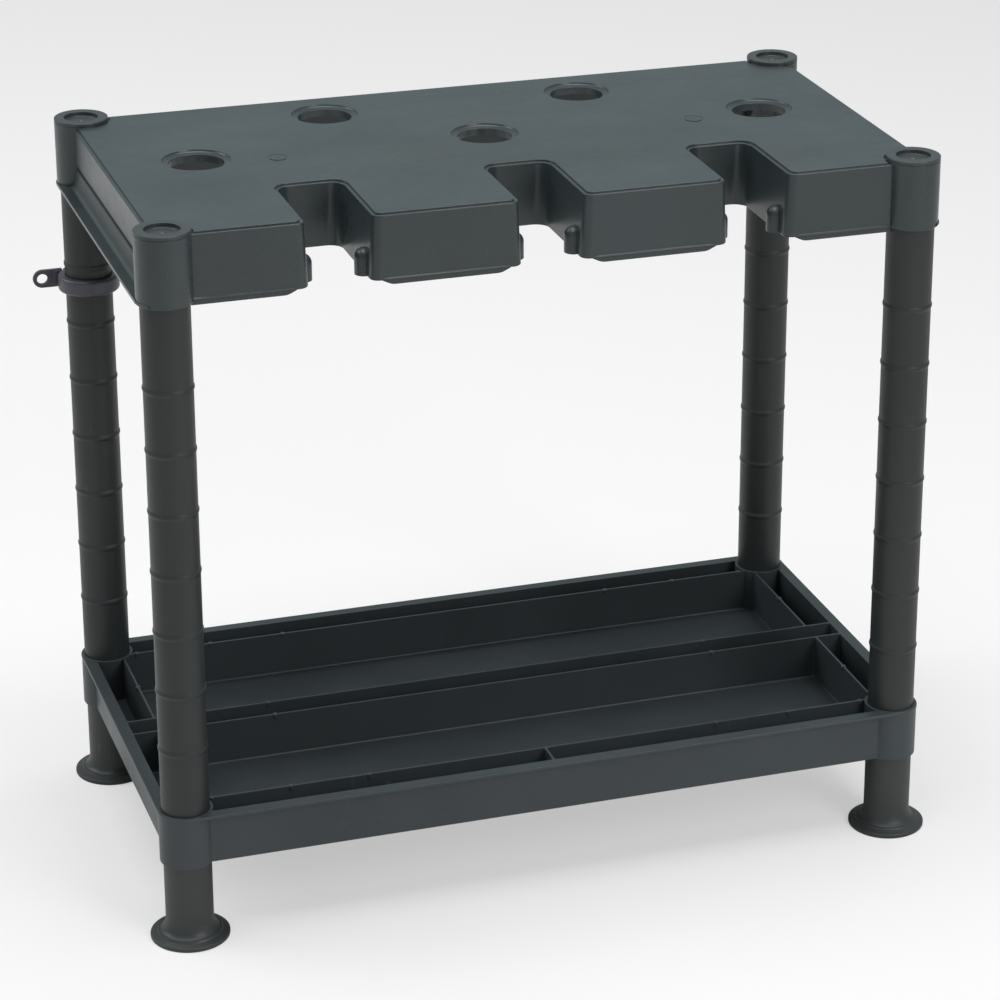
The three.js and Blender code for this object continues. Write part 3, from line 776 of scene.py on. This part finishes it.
def makePanel():
    panel = panelShell()
    relief = panelShape["sleeveRadius"] + panelShape["capRelief"]
    ledgeTop = panelTop - panelShape["ledgeDrop"]
    for axis in legAxes.values():
        cutOut(panel, turn("relief", [(relief, ledgeTop), (relief, panelTop + past)], axis.xy))
    guideLow = panelLow - slotShape["guideDrop"]
    guideTop = guideLow + slotShape["guideHeight"]
    guidePlaces = [(x, frontY + slotShape["guideSetback"]) for x in slotSides((guideLow + guideTop) / 2)]
    joinOn(panel, *[guidePost(place, slotShape["guideRadius"], guideLow, guideTop) for place in guidePlaces])
    coveTop = panelLow + railShape["flangeAboveEdge"] + railShape["coveHeight"]
    grooveLow = coveTop + railShape["grooveAboveCove"]
    nearY, farY = rackMiddle.y - legY, rackMiddle.y + legY
    for side in (-1, 1):
        inside = rackMiddle.x + side * (panelShape["endFace"] - panelShape["wall"] - past)
        outside = rackMiddle.x + side * (panelShape["endFace"] + past)
        grooveX = rackMiddle.x + side * (panelShape["endFace"] - railShape["grooveDepth"])
        opening = addBlock("endOpening", (inside, nearY, panelLow - past), (outside, farY, coveTop))
        groove = addBlock("endGroove", (grooveX, nearY, grooveLow),
                          (outside, farY, grooveLow + railShape["grooveHeight"]))
        cutOut(panel, opening, groove)
        joinOn(panel, endRail(side))
    print("panel shell, guides and end rails done")
    edges = [legAxes["front_left"].x, *slotSides(panelLow), legAxes["front_right"].x]
    for i in range(0, len(edges), 2):
        span = (edges[i], edges[i + 1], i > 0, i < len(edges) - 2)
        joinOn(panel, frontBead(*span), frontLip(*span))
    joinOn(panel, *panelRibs())
    joinOn(panel, *[holeCollar(place) for place in panelHoles()])
    for axis in legAxes.values():
        joinOn(panel, flangeTurn(axis))
        joinOn(panel, legSleeve(axis.xy, panelLow - panelShape["sleeveProud"], panelTop))
    print("panel lips, ribs, collars and sleeves done")
    cutOut(panel, *[holeCutter(place) for place in panelHoles()])
    for place in gatePlaces():
        cutOut(panel, *gateCutters(place))
    coreRadius, coreTop = slotShape["guideRadius"] - panelShape["wall"], guideTop - panelShape["wall"]
    cutOut(panel, *[guidePost(place, coreRadius, guideLow - past, coreTop) for place in guidePlaces])
    stopTop = panelTop - panelShape["stopTop"]
    for axis in legAxes.values():
        cutOut(panel, boreCutter(axis.xy, panelLow, stopTop, panelShape["stopThickness"], panelTop))
    finishPiece(panel, "top_panel")


# Tray

trayShape = {
    "depth": 0.041,
    "rimOut": 0.0206,         # leg axis to the outside of the rim
    "rimWidth": 0.0095,
    "rimThickness": 0.0024,
    "rimRound": 0.0008,
    "wall": 0.0022,
    "floorTop": 0.0348,
    "floorThickness": 0.0024,
    "rib": 0.0019,
    "ribRound": 0.0005,
    "channel": 0.020,
    "pocketRound": 0.0015,
    "bossRadius": 0.0021,
    "bossHeight": 0.003,
    "bossProud": 0.0003,
    "bossChamfer": 0.0004,
    "bossTopShare": 0.86,     # radius at the top, of the boss
    "bossEndInset": 0.033,
    "bossPitch": 0.060,
    "bossSideRise": 0.058,
    "bossMiddleInset": 0.111,
    "legSocket": 0.0196,
    "stopThickness": 0.0024,
    "sleeveProud": 0.0004,
}
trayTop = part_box("tray")[1].z - trayShape["sleeveProud"]
trayLow = trayTop - trayShape["depth"]
wellX = legX + trayShape["rimOut"] - trayShape["rimWidth"]
wellY = legY + trayShape["rimOut"] - trayShape["rimWidth"]
sideRibX = wellX - trayShape["channel"] - trayShape["rib"] / 2
longRibY = wellY - trayShape["channel"] - trayShape["rib"] / 2
middleRibY = (trayShape["channel"] + trayShape["rib"]) / 2


def trayBlock(name, x, y, z):
    # a block from its spans
    return addBlock(name, (*fromMiddle(x[0], y[0]), z[0]), (*fromMiddle(x[1], y[1]), z[1]))


def pocketCutter(x, y):
    floorZ = trayTop - trayShape["floorTop"]
    cutter = trayBlock("pocket", x, y, (floorZ, trayTop + past))

    def lowOrUpright(edge):
        a, b = (vert.co for vert in edge.verts)
        level = all(abs(corner.z - floorZ) < nearEnough for corner in (a, b))
        return (a - b).xy.length < nearEnough or level

    choose(cutter, "EDGE", lowOrUpright)
    bevelChosen(trayShape["pocketRound"], segments=3)
    return cutter


def trayPockets():
    half = trayShape["rib"] / 2
    pockets = []
    for near in (-1, 1):
        start = near * (middleRibY + half)
        pockets.append(((half - sideRibX, sideRibX - half), (start, near * (longRibY - half))))
        for side in (-1, 1):
            pockets.append(((side * (sideRibX + half), side * wellX), (start, near * legY)))
    pockets.append(((-legX, -half), (-wellY, -longRibY - half)))
    pockets.append(((half, legX), (-wellY, -longRibY - half)))
    pockets.append(((-legX, legX), (longRibY + half, wellY)))
    pockets.append(((-wellX, wellX), (half - middleRibY, middleRibY - half)))
    return pockets


def trayBosses():
    low, top = trayTop - trayShape["bossHeight"], trayTop + trayShape["bossProud"]
    radius = trayShape["bossRadius"]
    places = [(wellX - trayShape["bossEndInset"] - i * trayShape["bossPitch"], longRibY) for i in range(3)]
    places.append((wellX - trayShape["bossMiddleInset"], middleRibY))
    places.append((sideRibX, middleRibY + trayShape["bossSideRise"]))
    profile = [(radius, low), (radius, top - trayShape["bossChamfer"]),
               (radius * trayShape["bossTopShare"], top)]
    bosses = []
    for x, y in places:
        for sideX in (-1, 1):
            for sideY in (-1, 1):
                bosses.append(turn("boss", profile, fromMiddle(sideX * x, sideY * y), steps=20))
    return bosses


def makeTray():
    rimX, rimY = legX + trayShape["rimOut"], legY + trayShape["rimOut"]
    rimLow = trayTop - trayShape["rimThickness"]
    rim = trayBlock("rim", (-rimX, rimX), (-rimY, rimY), (rimLow, trayTop))
    corners = [fromMiddle(i * rimX, j * rimY) for i in (-1, 1) for j in (-1, 1)]
    roundUprights(rim, corners, trayShape["rimOut"], segments=16)
    roundRim(rim, trayTop, 1, trayShape["rimRound"])
    roundRim(rim, rimLow, -1, trayShape["rimRound"] / 2)
    wallX, wallY = wellX + trayShape["wall"], wellY + trayShape["wall"]
    tray = trayBlock("ribbedTray", (-wallX, wallX), (-wallY, wallY),
                     (trayLow, trayTop - trayShape["rimThickness"] / 2))
    roundRim(tray, trayLow, -1, trayShape["rimRound"])
    stepFace(tray, trayLow, -1, trayShape["wall"] - trayShape["rimRound"],
             trayShape["depth"] - trayShape["floorTop"] - trayShape["floorThickness"])
    faceOutwards(tray)
    joinOn(tray, rim)
    cutOut(tray, *[pocketCutter(x, y) for x, y in trayPockets()])

    def pocketBrink(edge):
        level = all(abs(vert.co.z - trayTop) < nearEnough for vert in edge.verts)
        return level and any(abs(face.normal.z) < uprightNormal for face in edge.link_faces)

    choose(tray, "EDGE", pocketBrink)
    bevelChosen(trayShape["ribRound"], segments=2)
    print("tray pockets done")
    joinOn(tray, *trayBosses())
    proud = trayShape["sleeveProud"]
    for axis in legAxes.values():
        joinOn(tray, legSleeve(axis.xy, trayLow - proud, trayTop + proud))
    stopTop = trayTop - trayShape["legSocket"]
    for axis in legAxes.values():
        cutOut(tray, boreCutter(axis.xy, trayLow, stopTop, trayShape["stopThickness"], trayTop))
    finishPiece(tray, "tray")


# Legs, feet and caps, each modelled once about its own axis and copied to the corners

legShape = {
    "radius": 0.0178,
    "wall": 0.0022,
    "ringPitch": 0.0465,
    "ringStart": 0.0505,      # tray rim to the lowest ring
    "ringCount": 7,
    "ringHeight": 0.0056,
    "ringProud": 0.0007,
    "ringSwell": ((-1.0, 0.0), (-0.82, 0.1), (-0.6, 0.4), (-0.36, 0.78), (-0.12, 0.98), (0.12, 0.98),
                  (0.36, 0.78), (0.6, 0.4), (0.82, 0.1), (1.0, 0.0)),  # shares of (half height, proud)
    "edgeRound": 0.0005,
}
footShape = {
    "radius": 0.0295,
    "edgeHeight": 0.0034,
    "edgeRound": 0.0009,
    "ridgeRadius": 0.0235,
    "ridgeHeight": 0.006,
    "flareHeight": 0.017,
    "tubeRound": 0.0004,
    "base": 0.003,
}
capShape = {
    "radius": 0.0202,
    "flange": 0.0027,
    "edgeRound": 0.0008,
    "dishRound": 0.0004,
    "skirt": 0.0002,          # rim lowered towards the sleeve
    "plug": 0.0045,
    "plugWall": 0.0022,
    "dishRadius": 0.0128,
    "dishDepth": 0.003,
    "stepRadius": 0.0108,     # faint step round the floor of the dish
    "stepHeight": 0.0003,
    "stepSlope": 0.0003,
    "floor": 0.0018,
    "nubRadius": 0.0029,
    "nubHeight": 0.0011,
    "nubArc": (12, 80),       # degrees
    "nubFoot": 0.0004,        # flat left round the nub
}


def setAtCorners(model, name, node):
    for corner, axis in legAxes.items():
        piece = copyTo(model, name + corner.title().replace("_", ""), axis.x, axis.y)
        finishPiece(piece, node + corner)
    bpy.data.objects.remove(model)


def makeLegs():
    low, high = legBoxes["front_left"][0].z, legBoxes["front_left"][1].z
    radius, inner = legShape["radius"], legShape["radius"] - legShape["wall"]
    profile = [(inner, low), (radius, low)]
    half = legShape["ringHeight"] / 2
    for i in range(legShape["ringCount"]):
        middle = trayTop + legShape["ringStart"] + i * legShape["ringPitch"]
        profile += [(radius + legShape["ringProud"] * out, middle + half * up)
                    for up, out in legShape["ringSwell"]]
    profile += [(radius, high), (inner, high)]
    leg = soften(turn("legModel", profile, filled=False), legShape["edgeRound"], segments=3)
    setAtCorners(leg, "legTube", "leg_")


def makeFeet():
    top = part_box("foot_front_left")[1].z
    radius, inner = legShape["radius"], legShape["radius"] - legShape["wall"]
    edge, tubeRound = footShape["edgeRound"], footShape["tubeRound"]
    ridgeRadius, ridgeHeight = footShape["ridgeRadius"], footShape["ridgeHeight"]
    flareTop = footShape["flareHeight"]
    rim = roundedSide(footShape["radius"], 0, footShape["edgeHeight"], edge, edge)
    flareSize = (ridgeRadius - radius, flareTop - ridgeHeight)
    flare = arcPoints((ridgeRadius, flareTop), flareSize, 270, 180, steps=14)
    ridge = (ridgeRadius + edge, (footShape["edgeHeight"] + ridgeHeight) / 2)
    profile = [*rim, ridge, *flare, (radius, top - tubeRound), (radius - tubeRound, top), (inner, top),
               (inner, footShape["base"])]
    foot = turn("footModel", profile)
    setAtCorners(foot, "footTube", "foot_")


def makeCaps():
    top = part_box("cap_front_left")[1].z
    under = top - capShape["flange"]
    plug = legShape["radius"]
    dish = top - capShape["dishDepth"]
    roof = dish - capShape["floor"]
    edge, brink = capShape["edgeRound"], capShape["dishRound"]
    outside = arcPoints((capShape["radius"] - edge, top - edge), (edge, edge), 0, 90, steps=4)
    inside = arcPoints((capShape["dishRadius"] + brink, top - brink), (brink, brink), 90, 180, steps=4)
    skirt = under - capShape["skirt"]
    step = dish + capShape["stepHeight"]
    nub = arcPoints((0, dish), (capShape["nubRadius"], capShape["nubHeight"]), *capShape["nubArc"], steps=5)
    plugInside, plugEnd = plug - capShape["plugWall"], under - capShape["plug"]
    profile = [(plugInside, roof), (plugInside, plugEnd), (plug, plugEnd), (plug, skirt),
               (capShape["radius"] - edge / 4, skirt), (capShape["radius"], skirt + edge / 4),
               *outside, *inside, (capShape["dishRadius"], step), (capShape["stepRadius"], step),
               (capShape["stepRadius"] - capShape["stepSlope"], dish),
               (capShape["nubRadius"] + capShape["nubFoot"], dish), *nub]
    cap = turn("capModel", profile)
    setAtCorners(cap, "endCap", "cap_")


# Wall clip: a snap-on collar open towards the wall, with a screw tab

clipShape = {
    "runningGap": 0.0004,
    "wall": 0.0052,
    "edgeRound": 0.0023,
    "mouthAngle": 84,         # degrees
    "beadRadius": 0.0029,
    "beadRound": 0.0008,
    "height": 0.0124,
    "tabHalfHeight": 0.0071,
    "tabThickness": 0.0032,
    "tabRound": 0.0007,
    "tabSetback": 0.0146,
    "tabReach": 0.0334,
    "eyeRadius": 0.0042,
    "rootThickness": 0.005,
    "rootRound": 0.0009,
    "rootReach": 0.025,
}


def tabPlate(points, thickness):
    y = clipAxis.y + clipShape["tabSetback"] - thickness / 2
    return raiseOutline("tab", [(clipAxis.x + x, y, z) for x, z in points], y=thickness)


def makeClip():
    low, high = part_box("wall_clip")
    middle = (low.z + high.z) / 2
    bandLow, bandHigh = middle - clipShape["height"] / 2, middle + clipShape["height"] / 2
    inner = legShape["radius"] + clipShape["runningGap"]
    outer = inner + clipShape["wall"]
    edge = clipShape["edgeRound"]
    bandProfile = roundedSide(outer, bandLow, bandHigh, edge, edge, steps=5)
    band = turn("wallClip", bandProfile, clipAxis.xy, steps=96)
    half = math.radians(clipShape["mouthAngle"] / 2)
    reach = 2 * outer
    mouthX, mouthY = reach * math.sin(half), reach * math.cos(half)
    mouth = [(clipAxis.x + x, clipAxis.y + y, bandLow - past)
             for x, y in ((0, 0), (mouthX, mouthY), (-mouthX, mouthY))]
    cutOut(band, raiseOutline("mouth", mouth, z=clipShape["height"] + 2 * past))
    beadRing = (inner + outer) / 2
    beadRound = clipShape["beadRound"]
    for side in (-1, 1):
        place = (clipAxis.x + side * beadRing * math.sin(half), clipAxis.y + beadRing * math.cos(half))
        profile = roundedSide(clipShape["beadRadius"], bandLow, bandHigh, beadRound, beadRound)
        joinOn(band, turn("bead", profile, place, steps=32))
    tabHalf, eyeRadius = clipShape["tabHalfHeight"], clipShape["eyeRadius"]
    eyeCentre = (-clipShape["tabReach"], middle)
    tabRight = -legShape["radius"]
    tabEnd = arcPoints(eyeCentre, (tabHalf, tabHalf), 90, 270, steps=24)
    tab = tabPlate([*tabEnd, (tabRight, middle - tabHalf), (tabRight, middle + tabHalf)],
                   clipShape["tabThickness"])
    root = tabPlate([(-clipShape["rootReach"], bandLow), (tabRight, bandLow), (tabRight, bandHigh),
                     (-clipShape["rootReach"], bandHigh)], clipShape["rootThickness"])
    joinOn(band, soften(tab, clipShape["tabRound"], segments=3),
           soften(root, clipShape["rootRound"], segments=3))
    cutOut(band, turn("legBore", [(inner, bandLow - past), (inner, bandHigh + past)], clipAxis.xy, steps=96))
    eye = arcPoints(eyeCentre, (eyeRadius, eyeRadius), 0, 345, steps=23)
    cutOut(band, tabPlate(eye, 2 * past))
    finishPiece(band, "wall_clip")


clipAxis = legAxes["back_left"]


# Studio

stageLook = {
    "floorColour": (0.86, 0.86, 0.86),
    "floorRoughness": 0.9,
    "floorSize": 40,
    "skyStrength": 0.3,
    "glossySky": 0.26,        # share of the surround that reflections show
    "glossyTint": (0.84, 1.0, 1.03),
    "paperColour": (0.97, 0.97, 0.97),
    "paperGlow": 0.5,         # share of the paper's colour in what the camera sees of the floor
}
lamps = [
    {"name": "overheadSoftbox", "place": (0.0, -0.2, 3.2), "size": (2.8, 2.4), "power": 74,
     "aim": (0, 0, 0.3)},
    {"name": "frontRightSoftbox", "place": (1.0, -2.1, 1.5), "size": (1.0, 1.2), "power": 21,
     "aim": (0, 0, 0.3)},
    {"name": "leftSoftbox", "place": (-2.6, 1.4, 2.2), "size": (2.0, 1.6), "power": 38,
     "aim": (-0.9, 1.2, 0)},
]


def addFloor():
    startFresh()
    bpy.ops.mesh.primitive_plane_add(size=stageLook["floorSize"], location=(0, 0, 0))
    floor = newest("studioFloor")
    material, tree, shader = newMaterial("palePaper")
    feed(tree, shader, {"Base Color": (*stageLook["floorColour"], 1),
                        "Roughness": stageLook["floorRoughness"]})
    path = tree.nodes.new("ShaderNodeLightPath")
    glow = addNode(tree, "ShaderNodeEmission", {"Color": (*stageLook["paperColour"], 1)})
    share = mathNode(tree, path.outputs["Is Camera Ray"], stageLook["paperGlow"])
    sides = {"Fac": share, 1: shader.outputs["BSDF"], 2: glow.outputs["Emission"]}
    blend = addNode(tree, "ShaderNodeMixShader", sides)
    feed(tree, tree.nodes["Material Output"], {"Surface": blend.outputs["Shader"]})
    floor.data.materials.append(material)


def addLamps():
    for lamp in lamps:
        bpy.ops.object.light_add(type="AREA", location=lamp["place"])
        light = newest(lamp["name"])
        light.data.shape = "RECTANGLE"
        light.data.size, light.data.size_y = lamp["size"]
        light.data.energy = lamp["power"]
        look = Vector(lamp["aim"]) - Vector(lamp["place"])
        light.rotation_euler = look.to_track_quat("-Z", "Y").to_euler()


def addSky():
    # white to the camera, dimmer in reflections and as light on the rack
    world = bpy.data.worlds.new("paleStudio")
    world.use_nodes = True
    bpy.context.scene.world = world
    tree = world.node_tree
    rays = tree.nodes.new("ShaderNodeLightPath").outputs
    seen = mathNode(tree, rays["Is Camera Ray"], rays["Is Transmission Ray"], "MAXIMUM")
    mirrored = mathNode(tree, rays["Is Glossy Ray"], stageLook["glossySky"])
    seen = mathNode(tree, seen, mirrored, "MAXIMUM")
    strength = rangeNode(tree, seen, (0.0, 1.0), (stageLook["skyStrength"], 1.0))
    colour = mixColour(tree, rays["Is Glossy Ray"], (1.0, 1.0, 1.0), stageLook["glossyTint"])
    feed(tree, tree.nodes["Background"], {"Strength": strength, "Color": colour})


# The whole rack

addCamera()
addFloor()
addLamps()
addSky()
print("studio set")
plasticGroups = {"grain": makeGrainGroup(), "flow": makeFlowGroup(), "dust": makeDustGroup(),
                 "scuffs": makeScuffGroup()}
plastics = {slotName: makePlastic(slotName, plasticGroups) for slotName in plasticLooks}
print("plastics made")
makePanel()
makeTray()
makeLegs()
makeFeet()
makeCaps()
makeClip()

startFresh()
bpy.context.scene.view_settings.view_transform = "Standard"
